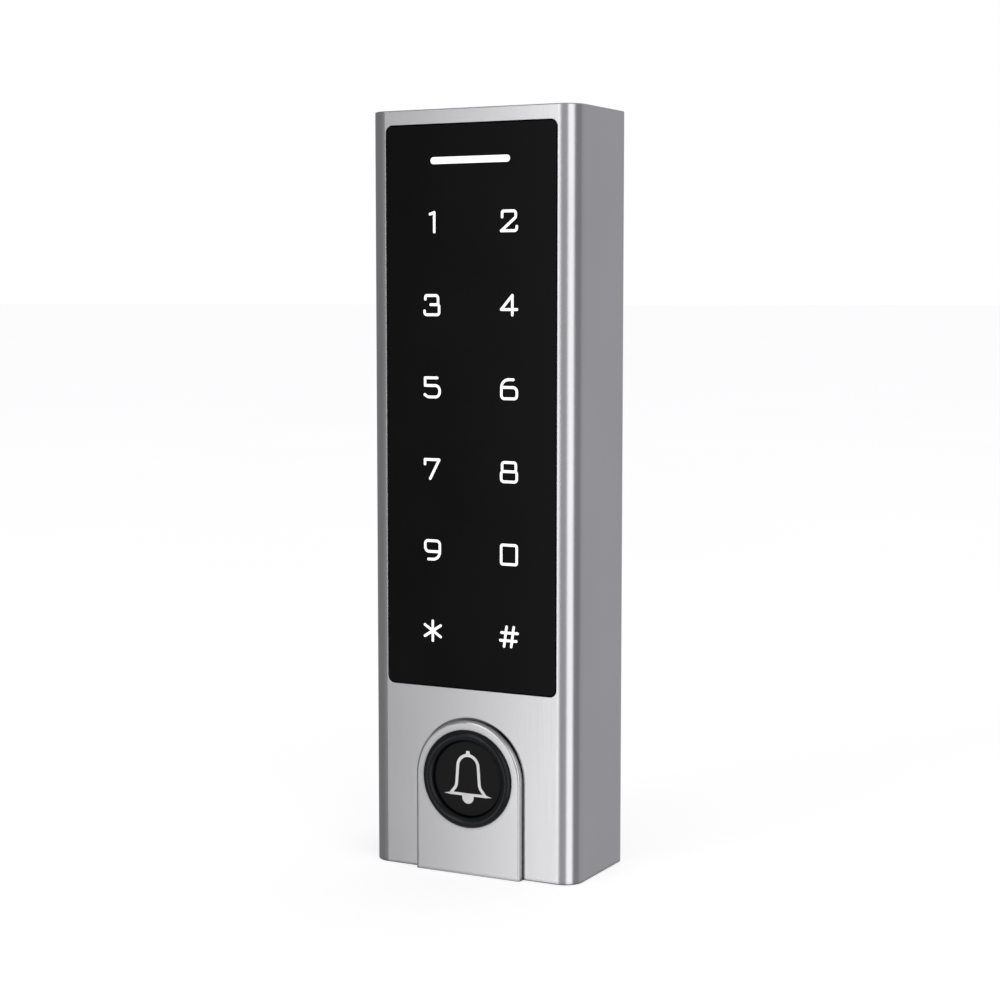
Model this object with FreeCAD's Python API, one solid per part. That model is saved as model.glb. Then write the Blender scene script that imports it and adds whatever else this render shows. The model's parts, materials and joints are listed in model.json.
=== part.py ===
import FreeCAD, Part
import math
import os

# Slim wall keypad reader: a metal housing with a glass touch panel, a bell push
# under it, two circuit boards inside, a rear cover, and a steel wall bracket.
#
# Frame: millimetres. The wall is the plane y = 0 and the front faces -Y, so a
# depth is a negative y. +X is to the right of a person who faces the reader,
# +Z is up, and the origin is the centre of the wall bracket's screw holes.

# ---------------------------------------------------------------- housing
HOUSING_WIDTH = 44.0
HOUSING_HEIGHT = 145.0
HOUSING_DEPTH = 22.0          # wall to front face
RIM_GAP = 0.4                 # wall to the housing's rear rim
SIDE_WALL = 2.5
END_WALL = 2.5
FRONT_CORNER_R = 3.7
REAR_CORNER_R = 1.0
END_EDGE_R = 0.25             # broken edge around the top and bottom ends
RIM_WALL = 1.3                # side wall left beside the rear cover
CAVITY_CORNER_R = 1.5

# ---------------------------------------------------------------- touch panel
PANEL_SIDE_MARGIN = 4.0       # housing side to panel pocket
PANEL_TOP_MARGIN = 2.9
LOWER_FIELD = 35.7            # bare metal below the panel
POCKET_CORNER_R = 1.3
POCKET_CHAMFER = 0.15
PANEL_GAP = 0.1
PANEL_THICKNESS = 1.7
TAPE_THICKNESS = 0.3
TAPE_EDGE_GAP = 0.3
LEDGE_WIDTH = 1.8             # ledge that carries the panel, around the window
LEDGE_THICKNESS = 1.5
WINDOW_CORNER_R = 1.0

# ---------------------------------------------------------------- key legends
KEY_ROWS = (("1", "2"), ("3", "4"), ("5", "6"), ("7", "8"), ("9", "0"), ("*", "#"))
KEY_COLUMN_X = 8.2
FIRST_ROW_DROP = 18.15        # panel pocket top to the first row
LAST_ROW_RISE = 10.65         # panel pocket bottom to the last row
GLYPH_WIDTH = 3.8
GLYPH_HEIGHT = 4.15
GLYPH_STROKE = 0.53
GLYPH_DEPTH = 0.25
BAR_WIDTH = 16.8
BAR_HEIGHT = 1.3
BAR_DROP = 6.7                # panel pocket top to the light bar's middle

# ---------------------------------------------------------------- bell plate
PLATE_RIM = 1.75              # plate left around the bezel's bead
PLATE_PROUD = 1.4
PLATE_INSET = 0.6
PLATE_GROOVE = 0.12           # parting line beside the plate
PLATE_TOP_GROOVE = 0.35       # and over its arch
PLATE_EDGE_R = 0.5
PLATE_BOSS_R = 1.7
PLATE_BOSS_LENGTH = 2.0
PLATE_BOSS_RIM = 0.5          # boss to the plate's side edge
PLATE_SCREW_RIB_GAP = 0.8     # screw head to the rib
PLATE_SCREW_R = 1.0
SMALL_HEAD_R = 1.9
SMALL_HEAD_HEIGHT = 1.2
SMALL_HEAD_EDGE_R = 0.4
SMALL_RECESS = (1.9, 0.7)      # width and depth of the cross recess
RECESS_SLOT_RATIO = 0.24      # slot width to recess width
PLATE_HOLE_DEPTH = 0.4        # screw hole into the plate itself

# ---------------------------------------------------------------- bell push
NUT_RIB_GAP = 1.1             # bezel nut to the rib under it
BEZEL_R = 9.45
BEZEL_PROUD = 0.8             # above the bell plate
BEZEL_OVERHANG = 0.65         # bead past the tube behind it
BEZEL_BEAD_WIDTH = 2.0
BEZEL_BEAD_DROP = 0.6         # bead top to its inner edge
BEZEL_BEAD_LIP = 0.15         # straight foot of the bead on the plate
BEZEL_TAIL_WALL = 0.6
BEZEL_SHOULDER_DEPTH = 3.2    # bead top to the shoulder that stops the cap
BEZEL_TAIL = 2.1              # bezel length behind the front wall
NUT_WIDTH = 1.5
NUT_THICKNESS = 1.4
NUT_SEAL_THICKNESS = 0.5
NUT_SEAL_INSET = 0.2
NUT_SLOT_R = 0.8
CAP_RECESS = 1.1              # bead top to the cap's face
CAP_GAP = 0.15                # cap to the bezel around it
CAP_FACE_THICKNESS = 1.9
CAP_LIP_THICKNESS = 0.8
CAP_EDGE_R = 0.3
CAP_SKIRT_WALL = 1.1
CAP_TRAVEL = 0.8
STEM_R = 1.5
STEM_GAP = 0.05
STEM_ROOT = 0.5               # stem let into the cap's face
GUIDE_THICKNESS = 1.2
GUIDE_INSET = 0.3             # guide inside the bezel's rear end
GUIDE_HOLE_GAP = 0.06
SPRING_COIL_R = 4.3
SPRING_WIRE_R = 0.25
SPRING_TURNS = 3.5
ICON_STROKE = 0.6
ICON_DEPTH = 0.3

# ---------------------------------------------------------------- inside
LIGHT_GUIDE_GAP = 0.2
LED_SIZE = (1.6, 0.8)
LED_HEIGHT = 0.6
LED_POCKET = (2.2, 1.4)
LED_POCKET_DEPTH = 0.9
TOUCH_BOARD_THICKNESS = 1.2
MAIN_BOARD_THICKNESS = 1.6
BOARD_EDGE_GAP = 0.5
BOARD_NOTCH_GAP = 0.4         # touch board to the bosses it passes
REAR_COMPONENT_SPACE = 4.0    # main board to rear cover
BOARD_BELOW_WELL = 10.0       # cable well to the main board's top
MAIN_BOARD_DROP = 5.4         # button centre to the main board's lower end
BOARD_BOSS_R = 1.8
BOARD_BOSS_EDGE = 2.2         # side wall to the board boss's axis
BOARD_SCREW_R = 1.0
BOARD_SCREW_LENGTH = 5.0
BOARD_HOLE_GAP = 0.1
BOARD_BOSS_HOLE_EXTRA = 0.5   # boss hole past the screw's tip
BOARD_BOSS_BELOW_TOP = 6.0    # main board top to its upper bosses
BOARD_BOSS_DROP = 5.5         # panel pocket to the lower bosses
SPACER_EDGE = 5.9             # cavity side to the spacer's axis
SPACER_R = 1.6
SPACER_PIN_R = 0.9
SPACER_BELOW_TOP = 12.0       # main board top to the upper spacers
SPACER_ABOVE_LEDGE = 6.8      # panel pocket bottom to the lower spacers
SWITCH_SIZE = 6.0
SWITCH_BODY_HEIGHT = 3.8
PLUNGER_R = 1.7
PLUNGER_OUT = 1.3
PLUNGER_IN = 1.9
PLUNGER_GAP = 0.08
PLUNGER_END_GAP = 0.1         # left behind the plunger when it is pressed
HEADER_PINS = 6
HEADER_PITCH = 2.0
HEADER_DROP = 19.0            # main board top to the header
HEADER_WIDTH = 2.2
HEADER_PIN = 0.5
HEADER_PIN_GAP = 0.1          # socket hole wider than its pin
SOCKET_FLOOR = 0.8
PIN_END_GAP = 1.0             # touch board to the pin's end
HEADER_PLASTIC_HEIGHT = 2.0
CONNECTOR_WAYS = 10
CONNECTOR_PITCH = 2.0
CONNECTOR_HEIGHT = 3.4
CONNECTOR_DEPTH = 5.0
CONNECTOR_END = 1.0           # shell past the outer pins
CONNECTOR_WALL = 0.7
CONNECTOR_FLOOR = 0.8
CONNECTOR_PIN_SUNK = 0.4
CONNECTOR_BELOW_BOSS = 2.0    # upper board bosses to the connector
# Chips and the like: x, drop below the main board's top, width, height, thickness.
MICROCONTROLLER = (0.0, 25.0, 9.0, 9.0, 1.4)
CARD_READER_CHIP = (-11.5, 36.0, 6.0, 6.0, 0.9)
CRYSTAL = (-11.5, 20.0, 5.0, 3.2, 1.1)
CRYSTAL_CORNER_R = 0.6
REGULATOR_BODY = (11.0, 34.0, 6.5, 3.5, 1.7)
REGULATOR_TAB = (11.0, 31.4, 3.0, 1.7, 0.5)
REGULATOR_LEG_X = (8.7, 11.0, 13.3)
REGULATOR_LEG = (36.4, 0.8, 1.3, 0.4)
INDUCTOR = (11.0, 46.0, 7.0, 7.0, 2.8)
INDUCTOR_CORNER_R = 1.6
RESISTOR_X = (-15.0, -12.0, -9.0, -6.0, -3.0)
RESISTOR_DROPS = (42.0, 46.0)
RESISTOR_SIZE = (1.6, 0.8, 0.5)
RELAY = (-7.5, 40.0, 15.0, 7.5, 6.0)
BUZZER_X = 9.0
BUZZER_DROP = 40.0
BUZZER_R = 5.5
BUZZER_HEIGHT = 5.5
BUZZER_HOLE_R = 1.0
BUZZER_HOLE_DEPTH = 1.5
CAPACITOR_X = 6.0
CAPACITOR_DROP = 28.0
CAPACITOR_R = 3.15
CAPACITOR_HEIGHT = 5.8
TOUCH_CHIP_SIZE = 7.0
TOUCH_CHIP_DROP = 4.0
TOUCH_CHIP_THICKNESS = 1.0
LEG_REACH = 0.7
LEG_THICKNESS = 0.25
LEG_PITCH = 0.8
LEGS_PER_SIDE = 10
COIL_WIDTH = 2.2
COIL_THICKNESS = 1.4
COIL_CORNER_R = 3.0
COIL_INNER_CORNER_R = 1.0
COIL_ABOVE_BOARD = 3.0        # main board's top to the coil
COIL_BELOW_POCKET = 9.0       # panel pocket top to the coil
FERRITE_THICKNESS = 0.4
FERRITE_BORDER = 0.5          # ferrite past the coil

# ---------------------------------------------------------------- rear cover
GASKET_WIDTH = 1.0
GASKET_THICKNESS = 0.5
COVER_THICKNESS = 1.5
COVER_EDGE_GAP = 0.2
COVER_CORNER_R = 0.5
COVER_SHELL = 1.2             # wall of the cover's wells and cups
COVER_BOSS_R = 2.4
COVER_BOSS_EDGE = 0.7         # boss to the rib or the end wall
COVER_BOSS_SIDE_GAP = 0.2     # boss to the side wall
COVER_SCREW_R = 1.25
COVER_SCREW_HEAD_R = 2.3
COVER_SCREW_LENGTH = 8.0
COVER_SCREW_CONE = 1.1        # height of the countersunk head
COVER_RECESS = (2.4, 0.8)      # width and depth of the cross recess
COVER_BOSS_HOLE_EXTRA = 1.0
RIB_THICKNESS = 1.5           # rib between the boards and the screw pocket
SCREW_POCKET_HEIGHT = 3.2     # room for the bracket's flange
CABLE_WELL_HALF_WIDTH = 8.0
CABLE_WELL_HEIGHT = 18.0
CABLE_WELL_DROP = 23.0        # cavity top to the well's middle
CABLE_WELL_DEPTH = 4.2
GROMMET_BORE_R = 3.0
GROMMET_WAIST_R = 4.2
GROMMET_FLANGE_R = 5.4
GROMMET_FLANGE = 0.8
TAMPER_X = 12.0
TAMPER_ABOVE_BUTTON = 8.9
TAMPER_WINDOW_R = 3.0
TAMPER_WINDOW_FRONT_INSET = 0.2
TAMPER_WINDOW_BACK_INSET = 0.1
TAMPER_SENSOR_R = 2.2
TAMPER_SENSOR_HEIGHT = 2.0

# ---------------------------------------------------------------- wall bracket
BRACKET_THICKNESS = 1.2
BRACKET_GAP = 1.2             # bracket to rear cover
BRACKET_EDGE_GAP = 0.5
BRACKET_CORNER_R = 2.0
WALL_HOLE_BELOW_WELL = 8.0    # cable well to the upper wall hole
WALL_HOLE_R = 2.2
HEAD_CUP_R = 4.6
HEAD_CUP_DEPTH = 2.0
CABLE_HOLE_CORNER_R = 3.0
TONGUE_X = 9.0
TONGUE_WIDTH = 6.0
TONGUE_DROP = 10.0            # cavity top to the tongue's underside
TONGUE_RISE = 3.8
TONGUE_REACH = 3.7            # bracket's front face to the tongue's far side
TONGUE_CATCH = 1.5            # tongue behind the cover's lip
TONGUE_GAP = 0.5
TONGUE_WINDOW_GAP = 0.2       # punched window past the tongue's sides
LIP_THICKNESS = 1.1
FLANGE_HALF_WIDTH = 8.0
FLANGE_REACH = 12.0
FLANGE_RIB_GAP = 0.2
SECURITY_SCREW_Y = -7.0
SECURITY_SCREW_R = 1.5
SECURITY_HEAD_R = 2.7
SECURITY_HEAD_HEIGHT = 1.3
SECURITY_HEAD_SUNK = 0.1
SECURITY_RECESS_R = 0.9
SECURITY_RECESS_DEPTH = 0.8
SECURITY_LOBE_R = 0.3
SECURITY_LOBE_REACH = 1.0
SECURITY_PIN_R = 0.35
SECURITY_HOLE_GAP = 0.15
SECURITY_SCREW_PAST_FLANGE = 0.3

PRESS_GAP = 0.05              # pieces pressed or glued into each other
OVERRUN = 1.0                 # how far a cutting tool runs past a face

# ---------------------------------------------------------------- derived
half_width = HOUSING_WIDTH / 2
top_z = HOUSING_HEIGHT / 2
bottom_z = -top_z
front_y = -HOUSING_DEPTH
rim_y = -RIM_GAP

inner_half_width = half_width - SIDE_WALL
inner_top_z = top_z - END_WALL
inner_bottom_z = bottom_z + END_WALL
pocket_floor_y = front_y + PANEL_THICKNESS + TAPE_THICKNESS
front_wall_y = pocket_floor_y + LEDGE_THICKNESS

pocket_half_width = half_width - PANEL_SIDE_MARGIN
pocket_top_z = top_z - PANEL_TOP_MARGIN
pocket_bottom_z = bottom_z + LOWER_FIELD
window_half_width = pocket_half_width - LEDGE_WIDTH
window_top_z = pocket_top_z - LEDGE_WIDTH
window_bottom_z = pocket_bottom_z + LEDGE_WIDTH
panel_back_y = front_y + PANEL_THICKNESS

first_row_z = pocket_top_z - FIRST_ROW_DROP
last_row_z = pocket_bottom_z + LAST_ROW_RISE
row_pitch = (first_row_z - last_row_z) / (len(KEY_ROWS) - 1)
bar_z = pocket_top_z - BAR_DROP

bezel_body_r = BEZEL_R - BEZEL_OVERHANG
bezel_bore_r = BEZEL_R - BEZEL_BEAD_WIDTH
bezel_rear_bore_r = bezel_body_r - BEZEL_TAIL_WALL
nut_r = bezel_body_r + NUT_WIDTH
plate_half_width = BEZEL_R + PLATE_RIM
rib_bottom_z = inner_bottom_z + SCREW_POCKET_HEIGHT
rib_top_z = rib_bottom_z + RIB_THICKNESS
button_z = rib_top_z + NUT_RIB_GAP + nut_r
plate_front_y = front_y - PLATE_PROUD
plate_back_y = front_y + PLATE_INSET
bead_top_y = plate_front_y - BEZEL_PROUD
bead_foot_y = plate_front_y - BEZEL_BEAD_LIP
shoulder_y = bead_top_y + BEZEL_SHOULDER_DEPTH
bezel_end_y = front_wall_y + BEZEL_TAIL
cap_face_y = bead_top_y + CAP_RECESS
cap_floor_y = cap_face_y + CAP_FACE_THICKNESS
cap_r = bezel_bore_r - CAP_GAP
cap_lip_front_y = shoulder_y + STEM_GAP
cap_lip_back_y = cap_lip_front_y + CAP_LIP_THICKNESS
cap_lip_r = bezel_rear_bore_r - CAP_GAP
guide_back_y = bezel_end_y - GUIDE_INSET
guide_front_y = guide_back_y - GUIDE_THICKNESS

bracket_front_y = -BRACKET_THICKNESS
cover_back_y = bracket_front_y - BRACKET_GAP
cover_front_y = cover_back_y - COVER_THICKNESS
seat_y = cover_front_y - GASKET_THICKNESS
rebate_half_width = half_width - RIM_WALL
rebate_top_z = top_z - RIM_WALL

touch_board_back_y = front_wall_y + TOUCH_BOARD_THICKNESS
main_board_back_y = cover_front_y - REAR_COMPONENT_SPACE
main_board_front_y = main_board_back_y - MAIN_BOARD_THICKNESS
cable_well_z = inner_top_z - CABLE_WELL_DROP
well_low_z = cable_well_z - CABLE_WELL_HEIGHT / 2
well_high_z = cable_well_z + CABLE_WELL_HEIGHT / 2
main_board_top_z = well_low_z - BOARD_BELOW_WELL
main_board_bottom_z = button_z - MAIN_BOARD_DROP
header_z = main_board_top_z - HEADER_DROP
switch_front_y = main_board_front_y - SWITCH_BODY_HEIGHT
plunger_tip_y = switch_front_y - PLUNGER_OUT
stem_end_y = plunger_tip_y - STEM_GAP

cover_boss_x = inner_half_width - COVER_BOSS_R - COVER_BOSS_SIDE_GAP
cover_boss_top_z = inner_top_z - COVER_BOSS_R - COVER_BOSS_EDGE
cover_boss_low_z = rib_top_z + COVER_BOSS_R + COVER_BOSS_EDGE
cover_boss_points = [
    (side * cover_boss_x, z) for side in (-1, 1) for z in (cover_boss_top_z, cover_boss_low_z)
]
board_boss_x = inner_half_width - BOARD_BOSS_EDGE
upper_board_boss_z = main_board_top_z - BOARD_BOSS_BELOW_TOP
lower_board_boss_z = pocket_bottom_z - BOARD_BOSS_DROP + BOARD_BOSS_R
board_boss_points = [
    (side * board_boss_x, z) for side in (-1, 1) for z in (upper_board_boss_z, lower_board_boss_z)
]
plate_screw_x = plate_half_width - PLATE_BOSS_R - PLATE_BOSS_RIM
plate_screw_z = rib_top_z + SMALL_HEAD_R + PLATE_SCREW_RIB_GAP
plate_screw_points = [(side * plate_screw_x, plate_screw_z) for side in (-1, 1)]
spacer_x = inner_half_width - SPACER_EDGE
spacer_rows = (main_board_top_z - SPACER_BELOW_TOP, pocket_bottom_z + SPACER_ABOVE_LEDGE)
spacer_points = [(side * spacer_x, z) for side in (-1, 1) for z in spacer_rows]
connector_z = upper_board_boss_z - CONNECTOR_BELOW_BOSS
wall_hole_z = well_low_z - WALL_HOLE_BELOW_WELL
wall_hole_points = [(0.0, wall_hole_z), (0.0, -wall_hole_z)]
key_points = [
    (glyph, side * KEY_COLUMN_X, first_row_z - row * row_pitch)
    for row, pair in enumerate(KEY_ROWS)
    for side, glyph in zip((-1, 1), pair)
]
well_back_y = cover_back_y - CABLE_WELL_DEPTH
tongue_far_y = bracket_front_y - TONGUE_REACH
tongue_z = inner_top_z - TONGUE_DROP
tongue_top_z = tongue_z + TONGUE_RISE
tamper_z = button_z + TAMPER_ABOVE_BUTTON


# ---------------------------------------------------------------- basic solids
def vec(x, y, z):
    return FreeCAD.Vector(x, y, z)


def block(x_range, y_range, z_range):
    """A box between two x, two y and two z values."""
    size = [pair[1] - pair[0] for pair in (x_range, y_range, z_range)]
    return Part.makeBox(*size, vec(x_range[0], y_range[0], z_range[0]))


def centred_block(x, z, width, height, y_range):
    return block((x - width / 2, x + width / 2), y_range, (z - height / 2, z + height / 2))


def disc(x, z, radius, y_range):
    """A cylinder along Y."""
    return Part.makeCylinder(radius, y_range[1] - y_range[0], vec(x, y_range[0], z), vec(0, 1, 0))


def ring(x, z, outer_r, inner_r, y_range):
    hole = disc(x, z, inner_r, (y_range[0] - OVERRUN, y_range[1] + OVERRUN))
    return disc(x, z, outer_r, y_range).cut(hole)


def rounded_block(x_range, z_range, y_range, corner_r):
    """A box whose four edges along Y are rounded."""
    solid = block(x_range, y_range, z_range)
    edges = [e for e in solid.Edges if abs(e.Vertexes[0].Y - e.Vertexes[1].Y) > 1e-6]
    return solid.makeFillet(corner_r, edges)


def join(solids):
    """One solid from overlapping or touching ones."""
    first, *rest = solids
    return first.multiFuse(rest).removeSplitter() if rest else first


def cut_all(solid, tools):
    return solid.cut(Part.makeCompound(tools))


def group(solids):
    """Separate solids kept side by side in one node."""
    return Part.makeCompound(solids)


def turned(profile_points, x, z):
    """A solid of revolution around the Y axis through (x, z) from (radius, y) points."""
    points = [vec(x + r, y, z) for r, y in profile_points]
    face = Part.Face(Part.makePolygon(points + points[:1]))
    return face.revolve(vec(x, 0, z), vec(0, 1, 0), 360)


# ---------------------------------------------------------------- strokes
def rounded_path(points, closed=False):
    """A wire in the plane y = 0 through (x, z, corner radius) points."""
    corners = [(vec(x, 0, z), radius) for x, z, radius in points]
    count = len(corners)
    edges = []
    start = None
    first_start = None
    indices = range(count) if closed else range(1, count - 1)
    if not closed:
        start = corners[0][0]
    for i in indices:
        here, radius = corners[i]
        before = corners[i - 1][0]
        after = corners[(i + 1) % count][0]
        into = (before - here).normalize()
        out = (after - here).normalize()
        if radius > 0:
            half_angle = into.getAngle(out) / 2
            setback = radius / math.tan(half_angle)
            begin = here + into * setback
            end = here + out * setback
            centre = here + (into + out).normalize() * (radius / math.sin(half_angle))
            middle = centre + (here - centre).normalize() * radius
        else:
            begin = end = here
        if start is not None and start.distanceToPoint(begin) > 1e-6:
            edges.append(Part.LineSegment(start, begin).toShape())
        if radius > 0:
            edges.append(Part.Arc(begin, middle, end).toShape())
        if first_start is None:
            first_start = begin
        start = end
    finish = first_start if closed else corners[-1][0]
    if start.distanceToPoint(finish) > 1e-6:
        edges.append(Part.LineSegment(start, finish).toShape())
    return Part.Wire(edges)


def straight_stroke(start, end, width):
    """A flat bar with two round ends."""
    along = (end - start).normalize()
    across = along.cross(vec(0, 1, 0)) * (width / 2)
    cap = along * (width / 2)
    edges = [
        Part.LineSegment(start + across, end + across).toShape(),
        Part.Arc(end + across, end + cap, end - across).toShape(),
        Part.LineSegment(end - across, start - across).toShape(),
        Part.Arc(start - across, start - cap, start + across).toShape(),
    ]
    return Part.Face(Part.Wire(edges))


def stroke(points, width, closed=False):
    """A flat face of the given stroke width along a path."""
    if len(points) == 2:
        (x0, z0, _), (x1, z1, _) = points
        return straight_stroke(vec(x0, 0, z0), vec(x1, 0, z1), width)
    path = rounded_path(points, closed)
    if not closed:
        return Part.Face(path.makeOffset2D(width / 2, 0, False, False, True))
    outside = Part.Face(path.makeOffset2D(width / 2, 0))
    inside = Part.Face(path.makeOffset2D(-width / 2, 0))
    return outside.cut(inside).Faces[0]


# Each stroke is a list of (x, z, corner radius). x and z run from -1 to 1 across
# the glyph's centre line box, and the corner radius is in millimetres.
GLYPH_STROKES = {
    "0": [([(-1, -1, 0.35), (1, -1, 0.35), (1, 1, 0.35), (-1, 1, 0.35)], True)],
    "1": [([(-0.2, 0.84, 0), (0.35, 1, 0), (0.35, -1, 0)], False)],
    "2": [
        (
            [(-0.88, 0.4, 0), (-0.88, 1, 0.3), (0.85, 1, 0.5), (0.85, 0.36, 0.5), (-1, -1, 0)],
            False,
        ),
        ([(-1, -1, 0), (0.98, -1, 0.5), (0.98, -0.58, 0)], False),
    ],
    "3": [
        ([(-0.85, 0.62, 0), (-0.85, 1, 0.3), (0.82, 1, 0.5), (0.82, 0.05, 0)], False),
        ([(-0.15, 0.05, 0), (0.96, 0.05, 0.4), (0.96, -1, 0.45), (-0.96, -1, 0.5), (-0.96, -0.6, 0)], False),
    ],
    "4": [
        ([(0.42, -1, 0), (0.42, 1, 0)], False),
        ([(0.42, 1, 0), (-1, -0.44, 0), (1, -0.44, 0)], False),
    ],
    "5": [
        (
            [(0.68, 1, 0), (-0.92, 1, 0), (-0.92, 0.2, 0), (1, 0.2, 0.95), (1, -1, 0.95), (-0.55, -1, 0.4),
             (-0.97, -0.76, 0)],
            False,
        )
    ],
    "6": [
        (
            [(0.55, 0.96, 0), (-0.97, 0.96, 1.5), (-0.97, -1, 0.6), (1, -1, 0.6), (1, 0.16, 0.8),
             (-0.4, 0.16, 0)],
            False,
        ),
        ([(-0.97, 0.16, 0), (-0.3, 0.16, 0)], False),
    ],
    "7": [([(-0.97, 0.52, 0), (-0.97, 1, 0), (0.92, 1, 0), (-0.28, -1, 0)], False)],
    "8": [
        ([(-0.88, 0.06, 0.4), (0.88, 0.06, 0.4), (0.88, 1, 0.45), (-0.88, 1, 0.45)], True),
        ([(-1, -1, 0.55), (1, -1, 0.55), (1, 0.06, 0.45), (-1, 0.06, 0.45)], True),
    ],
    "9": [
        (
            [(-0.55, -0.96, 0), (0.97, -0.96, 1.5), (0.97, 1, 0.7), (-0.97, 1, 0.6), (-0.97, -0.14, 0.8),
             (0.4, -0.14, 0)],
            False,
        ),
        ([(0.3, -0.14, 0), (0.97, -0.14, 0)], False),
    ],
    "*": [
        ([(0, -1.05, 0), (0, 1.05, 0)], False),
        ([(-1.05, -0.6, 0), (1.05, 0.6, 0)], False),
        ([(-1.05, 0.6, 0), (1.05, -0.6, 0)], False),
    ],
    "#": [
        ([(-0.62, -1.03, 0), (-0.3, 1.03, 0)], False),
        ([(0.3, -1.03, 0), (0.62, 1.03, 0)], False),
        ([(-0.95, 0.4, 0), (1.12, 0.4, 0)], False),
        ([(-1.12, -0.42, 0), (0.95, -0.42, 0)], False),
    ],
}


def glyph_solid(glyph, x, z):
    """One key legend, let into the panel's face by the glyph depth."""
    half_box_width = (GLYPH_WIDTH - GLYPH_STROKE) / 2
    half_box_height = (GLYPH_HEIGHT - GLYPH_STROKE) / 2
    faces = []
    for points, closed in GLYPH_STROKES[glyph]:
        scaled = [(px * half_box_width, pz * half_box_height, radius) for px, pz, radius in points]
        faces.append(stroke(scaled, GLYPH_STROKE, closed))
    solid = join([face.extrude(vec(0, GLYPH_DEPTH, 0)) for face in faces])
    return solid.translated(vec(x, front_y, z))


# ---------------------------------------------------------------- housing
def housing_blank():
    """The outer form: rounded front and rear edges, flat ends."""
    x, r, q = half_width, FRONT_CORNER_R, REAR_CORNER_R
    c = 1 - math.sqrt(0.5)
    edges = [
        Part.LineSegment(vec(-x + r, front_y, 0), vec(x - r, front_y, 0)).toShape(),
        Part.Arc(
            vec(x - r, front_y, 0), vec(x - c * r, front_y + c * r, 0), vec(x, front_y + r, 0)
        ).toShape(),
        Part.LineSegment(vec(x, front_y + r, 0), vec(x, rim_y - q, 0)).toShape(),
        Part.Arc(vec(x, rim_y - q, 0), vec(x - c * q, rim_y - c * q, 0), vec(x - q, rim_y, 0)).toShape(),
        Part.LineSegment(vec(x - q, rim_y, 0), vec(-x + q, rim_y, 0)).toShape(),
        Part.Arc(vec(-x + q, rim_y, 0), vec(-x + c * q, rim_y - c * q, 0), vec(-x, rim_y - q, 0)).toShape(),
        Part.LineSegment(vec(-x, rim_y - q, 0), vec(-x, front_y + r, 0)).toShape(),
        Part.Arc(
            vec(-x, front_y + r, 0), vec(-x + c * r, front_y + c * r, 0), vec(-x + r, front_y, 0)
        ).toShape(),
    ]
    profile = Part.Face(Part.Wire(edges))
    solid = profile.extrude(vec(0, 0, HOUSING_HEIGHT)).translated(vec(0, 0, bottom_z))
    ends = [e for e in solid.Edges if abs(e.Vertexes[0].Z - e.Vertexes[-1].Z) < 1e-6]
    return solid.makeFillet(END_EDGE_R, ends)


def tongue_outline(half, low_z, arch_z, y_range):
    """The bell plate's outline: straight sides under a half-round arch."""
    sides = block((-half, half), y_range, (low_z, arch_z))
    return join([sides, disc(0, arch_z, half, y_range)])


def panel_pocket():
    """The recess for the touch panel, with a small chamfer on its front edge."""
    pocket = rounded_block(
        (-pocket_half_width, pocket_half_width),
        (pocket_bottom_z, pocket_top_z),
        (front_y, pocket_floor_y),
        POCKET_CORNER_R,
    )
    wide = rounded_block(
        (-pocket_half_width - POCKET_CHAMFER, pocket_half_width + POCKET_CHAMFER),
        (pocket_bottom_z - POCKET_CHAMFER, pocket_top_z + POCKET_CHAMFER),
        (front_y, front_y + 2 * POCKET_CHAMFER),
        POCKET_CORNER_R + POCKET_CHAMFER,
    )
    back_edges = [e for e in wide.Edges if min(v.Y for v in e.Vertexes) > front_y + POCKET_CHAMFER]
    flared = wide.makeChamfer(POCKET_CHAMFER * 0.999, back_edges)
    skin = block(
        (-half_width, half_width), (front_y, front_y + POCKET_CHAMFER * 2), (bottom_z, top_z)
    )
    return join([pocket, flared.common(skin)])


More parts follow.
